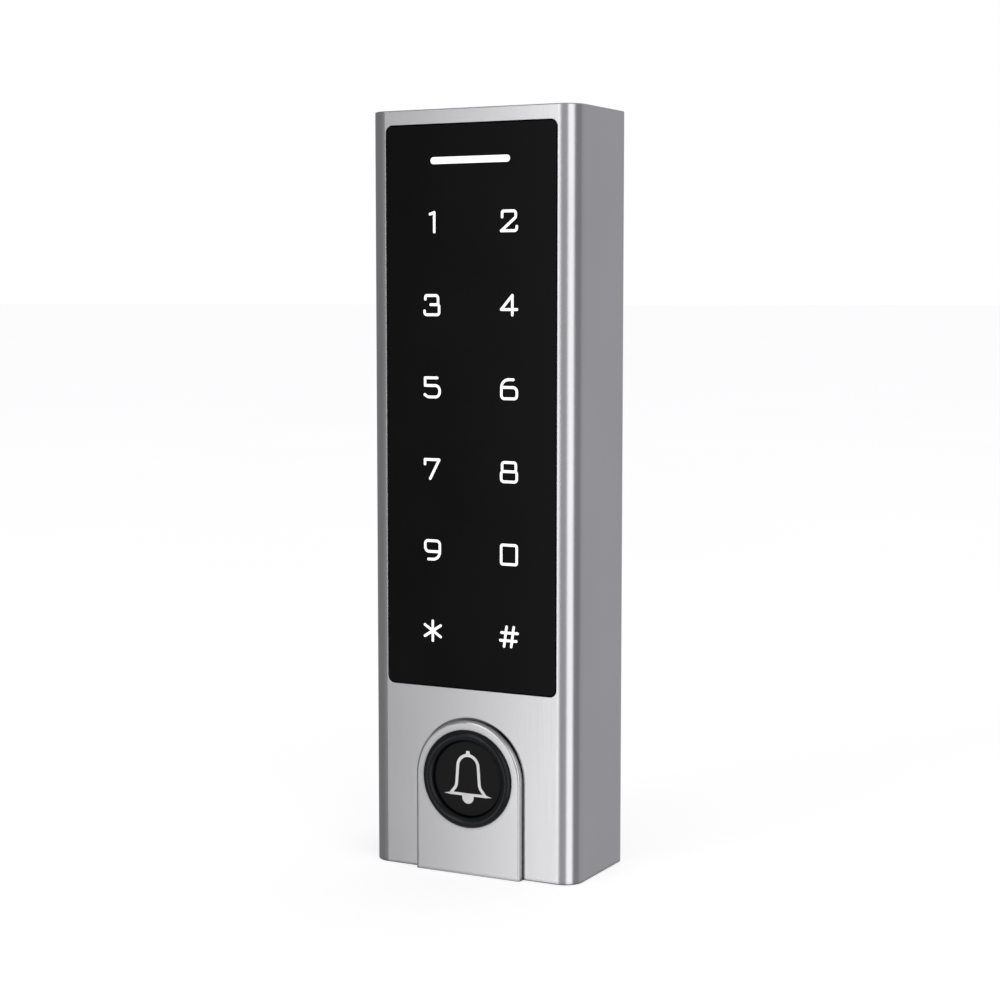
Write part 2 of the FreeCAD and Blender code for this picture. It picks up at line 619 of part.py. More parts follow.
def front_housing():
    solid = housing_blank()
    clear_y = rim_y + OVERRUN
    cavity = rounded_block(
        (-inner_half_width, inner_half_width),
        (rib_top_z, inner_top_z),
        (front_wall_y, clear_y),
        CAVITY_CORNER_R,
    )
    screw_pocket = block(
        (-inner_half_width, inner_half_width), (front_wall_y, clear_y), (inner_bottom_z, rib_bottom_z)
    )
    rebate = block(
        (-rebate_half_width, rebate_half_width), (seat_y, clear_y), (inner_bottom_z, rebate_top_z)
    )
    window = rounded_block(
        (-window_half_width, window_half_width),
        (window_bottom_z, window_top_z),
        (pocket_floor_y - OVERRUN, front_wall_y + OVERRUN),
        WINDOW_CORNER_R,
    )
    plate_seat = tongue_outline(
        plate_half_width + PLATE_GROOVE,
        bottom_z - OVERRUN,
        button_z + PLATE_TOP_GROOVE - PLATE_GROOVE,
        (front_y - OVERRUN, plate_back_y),
    )
    bezel_hole = disc(0, button_z, bezel_body_r + PRESS_GAP, (front_y, front_wall_y + OVERRUN))
    solid = cut_all(solid, [cavity, screw_pocket, rebate])
    solid = cut_all(solid, [panel_pocket(), window])
    solid = cut_all(solid, [plate_seat, bezel_hole])

    bosses = [disc(x, z, COVER_BOSS_R, (front_wall_y, cover_front_y)) for x, z in cover_boss_points]
    bosses += [disc(x, z, BOARD_BOSS_R, (front_wall_y, main_board_front_y)) for x, z in board_boss_points]
    bosses += [
        block(
            (min(x, side * inner_half_width), max(x, side * inner_half_width)),
            (front_wall_y, seat_y),
            (z - COVER_BOSS_R / 2, z + COVER_BOSS_R / 2),
        )
        for x, z in cover_boss_points
        for side in (math.copysign(1, x),)
    ]
    solid = join([solid] + bosses)

    boss_floor_y = plate_back_y + PLATE_BOSS_LENGTH
    holes = []
    for x, z in plate_screw_points:
        holes.append(disc(x, z, PLATE_BOSS_R + PRESS_GAP, (plate_back_y - OVERRUN, boss_floor_y)))
        holes.append(disc(x, z, PLATE_SCREW_R, (boss_floor_y - OVERRUN, front_wall_y + OVERRUN)))
    for x, z in cover_boss_points:
        depth = COVER_SCREW_LENGTH + COVER_BOSS_HOLE_EXTRA
        holes.append(disc(x, z, COVER_SCREW_R, (cover_back_y - depth, cover_front_y + OVERRUN)))
    for x, z in board_boss_points:
        deep_y = main_board_back_y - BOARD_SCREW_LENGTH - BOARD_BOSS_HOLE_EXTRA
        holes.append(disc(x, z, BOARD_SCREW_R, (deep_y, main_board_front_y + OVERRUN)))
    counterbore = Part.makeCylinder(
        SECURITY_HEAD_R + SECURITY_HOLE_GAP,
        SECURITY_HEAD_HEIGHT + OVERRUN,
        vec(0, SECURITY_SCREW_Y, bottom_z - OVERRUN),
    )
    shank_hole = Part.makeCylinder(
        SECURITY_SCREW_R + SECURITY_HOLE_GAP,
        END_WALL + 2 * OVERRUN,
        vec(0, SECURITY_SCREW_Y, bottom_z - OVERRUN),
    )
    return cut_all(solid, holes + [join([counterbore, shank_hole])])


# ---------------------------------------------------------------- touch panel
def key_legends():
    return group([glyph_solid(glyph, x, z) for glyph, x, z in key_points])


def bar_solid(y_range):
    half = (BAR_WIDTH - BAR_HEIGHT) / 2
    middle = block((-half, half), y_range, (bar_z - BAR_HEIGHT / 2, bar_z + BAR_HEIGHT / 2))
    ends = [disc(side * half, bar_z, BAR_HEIGHT / 2, y_range) for side in (-1, 1)]
    return join([middle] + ends)


def touch_panel():
    half = pocket_half_width - PANEL_GAP
    glass = rounded_block(
        (-half, half),
        (pocket_bottom_z + PANEL_GAP, pocket_top_z - PANEL_GAP),
        (front_y, panel_back_y),
        POCKET_CORNER_R - PANEL_GAP,
    )
    glass = glass.cut(key_legends())
    return glass.cut(bar_solid((front_y - OVERRUN, panel_back_y + OVERRUN)))


def light_bar_lens():
    return bar_solid((front_y, panel_back_y))


def panel_tape():
    outer = pocket_half_width - TAPE_EDGE_GAP
    frame = rounded_block(
        (-outer, outer),
        (pocket_bottom_z + TAPE_EDGE_GAP, pocket_top_z - TAPE_EDGE_GAP),
        (panel_back_y, pocket_floor_y),
        WINDOW_CORNER_R,
    )
    opening = block(
        (-window_half_width, window_half_width),
        (panel_back_y - OVERRUN, pocket_floor_y + OVERRUN),
        (window_bottom_z, window_top_z),
    )
    return frame.cut(opening)


def led_spots():
    """Places of the key lights and of the three lights behind the bar."""
    bar_spots = [(x, bar_z) for x in (-BAR_WIDTH / 3, 0, BAR_WIDTH / 3)]
    return [(x, z) for _, x, z in key_points], bar_spots


def led(x, z):
    return centred_block(x, z, *LED_SIZE, (front_wall_y - LED_HEIGHT, front_wall_y))


def light_guide():
    half = window_half_width - LIGHT_GUIDE_GAP
    sheet = rounded_block(
        (-half, half),
        (window_bottom_z + LIGHT_GUIDE_GAP, window_top_z - LIGHT_GUIDE_GAP),
        (panel_back_y, front_wall_y),
        WINDOW_CORNER_R,
    )
    keys, bars = led_spots()
    y_range = (front_wall_y - LED_POCKET_DEPTH, front_wall_y + OVERRUN)
    pockets = [centred_block(x, z, *LED_POCKET, y_range) for x, z in keys + bars]
    return cut_all(sheet, pockets)


def key_lights():
    return group([led(x, z) for x, z in led_spots()[0]])


def status_lights():
    return group([led(x, z) for x, z in led_spots()[1]])


def touch_board():
    half = inner_half_width - 4 * BOARD_EDGE_GAP
    board = block(
        (-half, half),
        (front_wall_y, touch_board_back_y),
        (window_bottom_z - LEDGE_WIDTH, window_top_z + LEDGE_WIDTH),
    )
    through = (front_wall_y - OVERRUN, touch_board_back_y + OVERRUN)
    notches = [disc(x, z, COVER_BOSS_R + BOARD_NOTCH_GAP, through) for x, z in cover_boss_points]
    notches += [
        block(
            (min(x, math.copysign(half + OVERRUN, x)), max(x, math.copysign(half + OVERRUN, x))),
            through,
            (z - COVER_BOSS_R / 2 - BOARD_NOTCH_GAP, top_z),
        )
        for x, z in cover_boss_points
        if z > 0
    ]
    notches += [disc(x, z, BOARD_BOSS_R + BOARD_NOTCH_GAP, through) for x, z in board_boss_points]
    notches += [disc(x, z, SPACER_PIN_R, through) for x, z in spacer_points]
    return cut_all(board, notches)


def touch_controller_chip():
    z = main_board_top_z - TOUCH_CHIP_DROP
    y_range = (touch_board_back_y, touch_board_back_y + TOUCH_CHIP_THICKNESS)
    return centred_block(0, z, TOUCH_CHIP_SIZE, TOUCH_CHIP_SIZE, y_range)


def coil_frame():
    """Outer half width and the two z limits of the antenna coil."""
    return spacer_x + SPACER_R / 2, main_board_top_z + COIL_ABOVE_BOARD, pocket_top_z - COIL_BELOW_POCKET


def antenna_coil():
    half, low, high = coil_frame()
    y_range = (touch_board_back_y, touch_board_back_y + COIL_THICKNESS)
    outer = rounded_block((-half, half), (low, high), y_range, COIL_CORNER_R)
    inner = rounded_block(
        (-half + COIL_WIDTH, half - COIL_WIDTH),
        (low + COIL_WIDTH, high - COIL_WIDTH),
        (y_range[0] - OVERRUN, y_range[1] + OVERRUN),
        COIL_INNER_CORNER_R,
    )
    return outer.cut(inner)


def ferrite_sheet():
    half, low, high = coil_frame()
    front = touch_board_back_y + COIL_THICKNESS
    return block(
        (-half - FERRITE_BORDER, half + FERRITE_BORDER),
        (front, front + FERRITE_THICKNESS),
        (low - FERRITE_BORDER, high + FERRITE_BORDER),
    )


# ---------------------------------------------------------------- bell plate
def bell_plate():
    y_range = (plate_front_y, plate_back_y)
    solid = tongue_outline(plate_half_width, bottom_z, button_z, y_range)
    front_edges = [
        e
        for e in solid.Edges
        if max(abs(v.Y - plate_front_y) for v in e.Vertexes) < 1e-6 and e.BoundBox.ZMax > bottom_z + 1.0
    ]
    solid = solid.makeFillet(PLATE_EDGE_R, front_edges)
    bosses = [
        disc(x, z, PLATE_BOSS_R, (plate_back_y - PLATE_INSET, plate_back_y + PLATE_BOSS_LENGTH))
        for x, z in plate_screw_points
    ]
    solid = join([solid] + bosses)
    holes = [disc(0, button_z, bezel_body_r + PRESS_GAP, (plate_front_y - OVERRUN, plate_back_y + OVERRUN))]
    bored = (plate_back_y - PLATE_HOLE_DEPTH, plate_back_y + PLATE_BOSS_LENGTH + OVERRUN)
    holes += [disc(x, z, PLATE_SCREW_R, bored) for x, z in plate_screw_points]
    return cut_all(solid, holes)


def cross_recess(x, z, head_y, recess):
    """A cross-shaped driver recess in a screw head whose face is at head_y."""
    size, depth = recess
    width = size * RECESS_SLOT_RATIO
    y_range = (head_y - depth, head_y + OVERRUN)
    return join([centred_block(x, z, size, width, y_range), centred_block(x, z, width, size, y_range)])


def pan_screw(x, z, under_head_y, shank_length, shank_r):
    """A pan-head screw whose shank points to the front."""
    head = disc(x, z, SMALL_HEAD_R, (under_head_y, under_head_y + SMALL_HEAD_HEIGHT))
    rim = [e for e in head.Edges if abs(e.BoundBox.YMin - under_head_y - SMALL_HEAD_HEIGHT) < 1e-3]
    head = head.makeFillet(SMALL_HEAD_EDGE_R, rim)
    shank = disc(x, z, shank_r, (under_head_y - shank_length, under_head_y))
    top = under_head_y + SMALL_HEAD_HEIGHT
    return join([head, shank]).cut(cross_recess(x, z, top, SMALL_RECESS))


def bell_plate_screws():
    length = front_wall_y - plate_back_y
    return group([pan_screw(x, z, front_wall_y, length, PLATE_SCREW_R) for x, z in plate_screw_points])


# ---------------------------------------------------------------- bell push
def bell_button_bezel():
    """A rounded bead on a tube that passes through the plate and the housing."""
    bore_top = vec(bezel_bore_r, bead_top_y + BEZEL_BEAD_DROP, 0)
    bead = [
        Part.LineSegment(vec(bezel_bore_r, shoulder_y, 0), bore_top).toShape(),
        Part.Arc(
            bore_top,
            vec((bezel_bore_r + BEZEL_R) / 2, bead_top_y, 0),
            vec(BEZEL_R, bead_foot_y, 0),
        ).toShape(),
    ]
    outline = [
        (BEZEL_R, bead_foot_y),
        (BEZEL_R, plate_front_y),
        (bezel_body_r, plate_front_y),
        (bezel_body_r, bezel_end_y),
        (bezel_rear_bore_r, bezel_end_y),
        (bezel_rear_bore_r, shoulder_y),
        (bezel_bore_r, shoulder_y),
    ]
    points = [vec(r, y, 0) for r, y in outline]
    straight = [Part.LineSegment(a, b).toShape() for a, b in zip(points, points[1:])]
    face = Part.Face(Part.Wire(bead + straight))
    return face.revolve(vec(0, 0, 0), vec(0, 1, 0), 360).translated(vec(0, 0, button_z))


def mirrored_face(points):
    """Two flat faces: the one through (x, z) points, and its mirror image in x."""
    faces = []
    for side in (-1, 1):
        corners = [vec(side * x, 0, z) for x, z in points]
        faces.append(Part.Face(Part.makePolygon(corners + corners[:1])))
    return faces


def bell_outline():
    """The bell symbol, 1 mm deep about (0, 0): a domed body with flared sides, lip, crown and clapper."""
    crown_z, crown_base_z, shoulder_z, waist_z, lip_z = 5.35, 4.45, 2.3, -1.6, -3.1
    dome_r, waist_x, lip_x, tip_x = 2.2, 2.5, 3.75, 5.15
    clapper_r, clapper_z = 1.25, -3.6
    depth = (0, 1)
    past = (-OVERRUN, 1 + OVERRUN)
    sides = []
    for side in (-1, 1):
        path = [(side * dome_r, shoulder_z, 0), (side * waist_x, waist_z, 1.9), (side * lip_x, lip_z, 0)]
        sides.append(stroke(path, ICON_STROKE))
    dome = ring(0, shoulder_z, dome_r + ICON_STROKE / 2, dome_r - ICON_STROKE / 2, depth)
    dome = dome.common(block((-tip_x, tip_x), past, (shoulder_z, crown_z)))
    half_lip = [(tip_x, lip_z - 0.1), (lip_x - 0.3, lip_z + 0.3), (0, lip_z + 0.25)]
    half_crown = [(0.8, crown_base_z), (0.42, crown_base_z + 0.4), (0.36, crown_z)]
    lip = mirrored_face(half_lip + [(0, lip_z - 0.25), (lip_x, lip_z - 0.25)])
    crown = mirrored_face([(0, crown_base_z)] + half_crown + [(0, crown_z)])
    clapper = disc(0, clapper_z, clapper_r, depth)
    clapper = clapper.common(block((-tip_x, tip_x), past, (clapper_z - clapper_r, lip_z - 0.2)))
    flat = [face.extrude(vec(0, 1, 0)) for face in sides + lip + crown]
    return join(flat + [dome, clapper])


def bell_icon():
    solid = bell_outline().common(block((-cap_r, cap_r), (0, ICON_DEPTH), (-cap_r, cap_r)))
    return solid.translated(vec(0, cap_face_y, button_z))


def bell_button_cap():
    """A disc with a stem, a stop lip, and an annular pocket for the spring."""
    face = disc(0, button_z, cap_r, (cap_face_y, cap_lip_back_y))
    rim = [e for e in face.Edges if abs(e.BoundBox.YMax - cap_face_y) < 1e-3]
    face = face.makeFillet(CAP_EDGE_R, rim)
    lip = disc(0, button_z, cap_lip_r, (cap_lip_front_y, cap_lip_back_y))
    pocket = disc(0, button_z, cap_r - CAP_SKIRT_WALL, (cap_floor_y, cap_lip_back_y + OVERRUN))
    body = join([face, lip]).cut(pocket)
    stem = disc(0, button_z, STEM_R, (cap_floor_y - STEM_ROOT, stem_end_y))
    return join([body, stem]).cut(bell_icon())


def bell_button_guide():
    radius = bezel_rear_bore_r - PRESS_GAP
    return ring(0, button_z, radius, STEM_R + GUIDE_HOLE_GAP, (guide_front_y, guide_back_y))


def button_spring():
    """A compression spring between the cap's pocket floor and the guide, in tilted half turns."""
    half_turns = int(2 * SPRING_TURNS)
    end_gap = SPRING_WIRE_R + PRESS_GAP
    rise = (guide_front_y - cap_floor_y - 2 * end_gap) / half_turns
    coils = []
    for i in range(half_turns):
        side = 1 if i % 2 == 0 else -1
        start_y = cap_floor_y + end_gap + i * rise
        centre = vec(0, start_y + rise / 2, button_z)
        start = vec(side * SPRING_COIL_R, start_y, button_z)
        across = vec(0, 0, -side)
        section = Part.Face(Part.Wire(Part.makeCircle(SPRING_WIRE_R, start, across)))
        coils.append(section.revolve(centre, (start - centre).cross(across), 180))
    return join(coils)


def bezel_nut_seal():
    y_range = (front_wall_y, front_wall_y + NUT_SEAL_THICKNESS)
    return ring(0, button_z, nut_r - NUT_SEAL_INSET, bezel_body_r + PRESS_GAP, y_range)


def bezel_nut():
    start = front_wall_y + NUT_SEAL_THICKNESS
    y_range = (start, start + NUT_THICKNESS)
    nut = ring(0, button_z, nut_r, bezel_body_r + PRESS_GAP, y_range)
    slots = []
    for turn in range(4):
        angle = math.radians(45 + 90 * turn)
        x, z = nut_r * math.cos(angle), button_z + nut_r * math.sin(angle)
        slots.append(disc(x, z, NUT_SLOT_R, (start - OVERRUN, start + NUT_THICKNESS + OVERRUN)))
    return cut_all(nut, slots)


# ---------------------------------------------------------------- bell switch
def bell_switch_body():
    y_range = (switch_front_y, main_board_front_y)
    body = centred_block(0, button_z, SWITCH_SIZE, SWITCH_SIZE, y_range)
    bore_end_y = switch_front_y + PLUNGER_IN + CAP_TRAVEL + PLUNGER_END_GAP
    bore = disc(0, button_z, PLUNGER_R + PLUNGER_GAP, (switch_front_y - OVERRUN, bore_end_y))
    return body.cut(bore)


def bell_switch_plunger():
    return disc(0, button_z, PLUNGER_R, (plunger_tip_y, switch_front_y + PLUNGER_IN))


# ---------------------------------------------------------------- main board
def main_board():
    half = inner_half_width - BOARD_EDGE_GAP
    board = block(
        (-half, half), (main_board_front_y, main_board_back_y), (main_board_bottom_z, main_board_top_z)
    )
    through = (main_board_front_y - OVERRUN, main_board_back_y + OVERRUN)
    holes = [disc(x, z, BOARD_SCREW_R + BOARD_HOLE_GAP, through) for x, z in board_boss_points]
    holes += [disc(x, z, SPACER_PIN_R, through) for x, z in spacer_points]
    return cut_all(board, holes)


def main_board_screws():
    return group(
        [pan_screw(x, z, main_board_back_y, BOARD_SCREW_LENGTH, BOARD_SCREW_R) for x, z in board_boss_points]
    )


def board_spacers():
    spacers = []
    for x, z in spacer_points:
        body = disc(x, z, SPACER_R, (touch_board_back_y, main_board_front_y))
        pin = disc(x, z, SPACER_PIN_R, (front_wall_y, main_board_back_y))
        spacers.append(join([body, pin]))
    return group(spacers)


def header_pin_positions():
    offset = (HEADER_PINS - 1) / 2
    return [(i - offset) * HEADER_PITCH for i in range(HEADER_PINS)]


def board_header():
    """Pin strip on the main board."""
    top_y = main_board_front_y - HEADER_PLASTIC_HEIGHT
    width = HEADER_PINS * HEADER_PITCH
    strip = centred_block(0, header_z, width, HEADER_WIDTH, (top_y, main_board_front_y))
    pins = [
        centred_block(x, header_z, HEADER_PIN, HEADER_PIN, (touch_board_back_y + PIN_END_GAP, top_y))
        for x in header_pin_positions()
    ]
    return join([strip] + pins)


def board_socket():
    """Socket strip on the touch board."""
    top_y = main_board_front_y - HEADER_PLASTIC_HEIGHT
    width = HEADER_PINS * HEADER_PITCH
    strip = centred_block(0, header_z, width, HEADER_WIDTH, (touch_board_back_y, top_y))
    hole = HEADER_PIN + HEADER_PIN_GAP
    holes = [
        centred_block(x, header_z, hole, hole, (touch_board_back_y + SOCKET_FLOOR, top_y + OVERRUN))
        for x in header_pin_positions()
    ]
    return cut_all(strip, holes)


def rear_part(x, drop, width, height, thickness):
    """A part soldered on the main board's rear face."""
    y_range = (main_board_back_y, main_board_back_y + thickness)
    return centred_block(x, main_board_top_z - drop, width, height, y_range)


def front_part(x, drop, width, height, thickness):
    """A part soldered on the main board's front face."""
    y_range = (main_board_front_y - thickness, main_board_front_y)
    return centred_block(x, main_board_top_z - drop, width, height, y_range)


def microcontroller():
    return rear_part(*MICROCONTROLLER)


def microcontroller_legs():
    """Legs on all four sides of the chip."""
    x, drop, size, _, _ = MICROCONTROLLER
    legs = []
    for i in range(LEGS_PER_SIDE):
        along = (i - (LEGS_PER_SIDE - 1) / 2) * LEG_PITCH
        for side in (-1, 1):
            across = side * (size + LEG_REACH) / 2
            legs.append(rear_part(x + across, drop + along, LEG_REACH, LEG_PITCH / 2, LEG_THICKNESS))
            legs.append(rear_part(x + along, drop + across, LEG_PITCH / 2, LEG_REACH, LEG_THICKNESS))
    return group(legs)


def card_reader_chip():
    return rear_part(*CARD_READER_CHIP)


def rounded_rear_part(place, corner_r):
    solid = rear_part(*place)
    return solid.makeFillet(corner_r, [e for e in solid.Edges if e.BoundBox.YLength > OVERRUN])


def crystal():
    return rounded_rear_part(CRYSTAL, CRYSTAL_CORNER_R)


def voltage_regulator():
    legs = [rear_part(x, *REGULATOR_LEG) for x in REGULATOR_LEG_X]
    return join([rear_part(*REGULATOR_BODY), rear_part(*REGULATOR_TAB)] + legs)


def power_inductor():
    return rounded_rear_part(INDUCTOR, INDUCTOR_CORNER_R)


def chip_resistors():
    """Small chip parts on the rear face, in two rows."""
    return group([rear_part(x, drop, *RESISTOR_SIZE) for drop in RESISTOR_DROPS for x in RESISTOR_X])


def tamper_light_sensor():
    y_range = (main_board_back_y, main_board_back_y + TAMPER_SENSOR_HEIGHT)
    return disc(TAMPER_X, tamper_z, TAMPER_SENSOR_R, y_range)


def cable_connector():
    """An open-topped wire header on the main board's rear face, near the cable inlet."""
    width = CONNECTOR_WAYS * CONNECTOR_PITCH + 2 * CONNECTOR_END
    top_y = main_board_back_y + CONNECTOR_HEIGHT
    shell = centred_block(0, connector_z, width, CONNECTOR_DEPTH, (main_board_back_y, top_y))
    mouth = centred_block(
        0,
        connector_z,
        width - 2 * CONNECTOR_WALL,
        CONNECTOR_DEPTH - 2 * CONNECTOR_WALL,
        (main_board_back_y + CONNECTOR_FLOOR, top_y + OVERRUN),
    )
    return shell.cut(mouth)


def cable_connector_pins():
    offset = (CONNECTOR_WAYS - 1) / 2
    tip_y = main_board_back_y + CONNECTOR_HEIGHT - CONNECTOR_PIN_SUNK
    y_range = (main_board_back_y + CONNECTOR_FLOOR, tip_y)
    return group(
        [
            centred_block((i - offset) * CONNECTOR_PITCH, connector_z, HEADER_PIN, HEADER_PIN, y_range)
            for i in range(CONNECTOR_WAYS)
        ]
    )


def door_relay():
    return front_part(*RELAY)


def buzzer():
    z = main_board_top_z - BUZZER_DROP
    face_y = main_board_front_y - BUZZER_HEIGHT
    body = disc(BUZZER_X, z, BUZZER_R, (face_y, main_board_front_y))
    sound_hole = disc(BUZZER_X, z, BUZZER_HOLE_R, (face_y - OVERRUN, face_y + BUZZER_HOLE_DEPTH))
    return body.cut(sound_hole)


def capacitors():
    z = main_board_top_z - CAPACITOR_DROP
    y_range = (main_board_front_y - CAPACITOR_HEIGHT, main_board_front_y)
    return group([disc(side * CAPACITOR_X, z, CAPACITOR_R, y_range) for side in (-1, 1)])


# ---------------------------------------------------------------- rear cover
def countersunk_screw(x, z):
    """A flat-head screw, flush with the cover's rear face."""
    profile = [
        (0, cover_back_y),
        (COVER_SCREW_HEAD_R, cover_back_y),
        (COVER_SCREW_R, cover_back_y - COVER_SCREW_CONE),
        (COVER_SCREW_R, cover_back_y - COVER_SCREW_LENGTH),
        (0, cover_back_y - COVER_SCREW_LENGTH),
    ]
    return turned(profile, x, z)


def rear_cover_screws():
    return group(
        [
            countersunk_screw(x, z).cut(cross_recess(x, z, cover_back_y, COVER_RECESS))
            for x, z in cover_boss_points
        ]
    )


def rear_gasket():
    y_range = (seat_y, cover_front_y)
    outer = block(
        (-inner_half_width - GASKET_WIDTH, inner_half_width + GASKET_WIDTH),
        y_range,
        (rib_top_z - GASKET_WIDTH, inner_top_z + GASKET_WIDTH),
    )
    inner = block(
        (-inner_half_width, inner_half_width),
        (seat_y - OVERRUN, cover_front_y + OVERRUN),
        (rib_top_z, inner_top_z),
    )
    return outer.cut(inner)


def tongue_pocket(x, wall):
    """The catch pocket in the cover, grown by a wall thickness for its outside."""
    half = TONGUE_WIDTH / 2 + TONGUE_GAP + wall
    low = tongue_top_z - 2 * TONGUE_RISE + TONGUE_CATCH - wall
    return block(
        (x - half, x + half),
        (tongue_far_y - TONGUE_GAP - wall, cover_back_y),
        (low, tongue_top_z + TONGUE_GAP + wall),
    )


def rear_cover():
    half = rebate_half_width - COVER_EDGE_GAP
    plate = rounded_block(
        (-half, half),
        (rib_bottom_z + COVER_EDGE_GAP, rebate_top_z - COVER_EDGE_GAP),
        (cover_front_y, cover_back_y),
        COVER_CORNER_R,
    )
    shells = [
        disc(x, z, HEAD_CUP_R + COVER_SHELL, (cover_back_y - HEAD_CUP_DEPTH - COVER_SHELL, cover_back_y))
        for x, z in wall_hole_points
    ]
    shells.append(
        block(
            (-CABLE_WELL_HALF_WIDTH - COVER_SHELL, CABLE_WELL_HALF_WIDTH + COVER_SHELL),
            (well_back_y - COVER_SHELL, cover_back_y),
            (well_low_z - COVER_SHELL, well_high_z + COVER_SHELL),
        )
    )
    shells += [tongue_pocket(side * TONGUE_X, COVER_SHELL) for side in (-1, 1)]
    solid = join([plate] + shells)

    behind = cover_back_y + OVERRUN
    hollows = [disc(x, z, HEAD_CUP_R, (cover_back_y - HEAD_CUP_DEPTH, behind)) for x, z in wall_hole_points]
    hollows.append(
        rounded_block(
            (-CABLE_WELL_HALF_WIDTH, CABLE_WELL_HALF_WIDTH),
            (well_low_z, well_high_z),
            (well_back_y, behind),
            CABLE_HOLE_CORNER_R,
        )
    )
    hollows.append(disc(0, cable_well_z, GROMMET_WAIST_R, (well_back_y - COVER_SHELL - OVERRUN, behind)))
    for side in (-1, 1):
        pocket = tongue_pocket(side * TONGUE_X, 0)
        lip = block(
            (side * TONGUE_X - TONGUE_WIDTH, side * TONGUE_X + TONGUE_WIDTH),
            (cover_back_y - LIP_THICKNESS, cover_back_y + OVERRUN),
            (tongue_top_z - TONGUE_CATCH, tongue_top_z + TONGUE_GAP + OVERRUN),
        )
        hollows.append(pocket.cut(lip))
    hollows.append(disc(TAMPER_X, tamper_z, TAMPER_WINDOW_R, (cover_front_y - OVERRUN, behind)))
    solid = cut_all(solid, hollows)
    return cut_all(solid, [countersunk_screw(x, z) for x, z in cover_boss_points])


def tamper_window():
    y_range = (cover_front_y + TAMPER_WINDOW_FRONT_INSET, cover_back_y - TAMPER_WINDOW_BACK_INSET)
    return disc(TAMPER_X, tamper_z, TAMPER_WINDOW_R, y_range)


def cable_grommet():
    wall_front_y = well_back_y - COVER_SHELL
    waist = disc(0, cable_well_z, GROMMET_WAIST_R, (wall_front_y, well_back_y))
    outer = disc(0, cable_well_z, GROMMET_FLANGE_R, (well_back_y, well_back_y + GROMMET_FLANGE))
    inner = disc(0, cable_well_z, GROMMET_FLANGE_R, (wall_front_y - GROMMET_FLANGE, wall_front_y))
    reach = GROMMET_FLANGE + OVERRUN
    bore = disc(0, cable_well_z, GROMMET_BORE_R, (wall_front_y - reach, well_back_y + reach))
    return join([waist, outer, inner]).cut(bore)


# ---------------------------------------------------------------- wall bracket
def flange_z_range():
    top = rib_bottom_z - FLANGE_RIB_GAP
    return top - BRACKET_THICKNESS, top


def wall_bracket():
    half = rebate_half_width - BRACKET_EDGE_GAP
    flange_z = flange_z_range()
    plate = rounded_block(
        (-half, half),
        (flange_z[0], rebate_top_z - BRACKET_EDGE_GAP),
        (bracket_front_y, 0),
        BRACKET_CORNER_R,
    )
    flange = block((-FLANGE_HALF_WIDTH, FLANGE_HALF_WIDTH), (-FLANGE_REACH, 0), flange_z)
    tongues = []
    windows = []
    for side in (-1, 1):
        x_range = (side * TONGUE_X - TONGUE_WIDTH / 2, side * TONGUE_X + TONGUE_WIDTH / 2)
        root = block(x_range, (tongue_far_y, bracket_front_y), (tongue_z, tongue_z + BRACKET_THICKNESS))
        hook = block(x_range, (tongue_far_y, tongue_far_y + BRACKET_THICKNESS), (tongue_z, tongue_top_z))
        tongues.append(join([root, hook]))
        windows.append(
            block(
                (x_range[0] - TONGUE_WINDOW_GAP, x_range[1] + TONGUE_WINDOW_GAP),
                (bracket_front_y - OVERRUN, OVERRUN),
                (tongue_z + BRACKET_THICKNESS, tongue_z + TONGUE_REACH + TONGUE_RISE - BRACKET_THICKNESS),
            )
        )
    solid = join([plate, flange] + tongues)
    through = (bracket_front_y - OVERRUN, OVERRUN)
    holes = [disc(x, z, WALL_HOLE_R, through) for x, z in wall_hole_points]
    holes.append(
        rounded_block(
            (-CABLE_WELL_HALF_WIDTH, CABLE_WELL_HALF_WIDTH),
            (well_low_z, well_high_z),
            through,
            CABLE_HOLE_CORNER_R,
        )
    )
    thread_base = vec(0, SECURITY_SCREW_Y, flange_z[0] - OVERRUN)
    holes.append(Part.makeCylinder(SECURITY_SCREW_R, BRACKET_THICKNESS + 2 * OVERRUN, thread_base))
    return cut_all(solid, windows + holes)


def security_screw():
    """A screw from below with a six-lobed recess around a centre pin."""
    head_low_z = bottom_z + SECURITY_HEAD_SUNK
    head_top_z = bottom_z + SECURITY_HEAD_HEIGHT
    tip_z = flange_z_range()[1] + FLANGE_RIB_GAP - SECURITY_SCREW_PAST_FLANGE / 2

    def upright(radius, z_range, x=0.0, dy=0.0):
        return Part.makeCylinder(radius, z_range[1] - z_range[0], vec(x, SECURITY_SCREW_Y + dy, z_range[0]))

    head = upright(SECURITY_HEAD_R, (head_low_z, head_top_z))
    shank = upright(SECURITY_SCREW_R, (head_top_z, tip_z))
    recess_z = (head_low_z, head_low_z + SECURITY_RECESS_DEPTH)
    recess = [upright(SECURITY_RECESS_R, recess_z)]
    for turn in range(6):
        angle = math.radians(60 * turn)
        reach_x, reach_y = SECURITY_LOBE_REACH * math.cos(angle), SECURITY_LOBE_REACH * math.sin(angle)
        recess.append(upright(SECURITY_LOBE_R, recess_z, reach_x, reach_y))
    pin = upright(SECURITY_PIN_R, recess_z)
    return join([head, shank]).cut(join(recess).cut(pin))


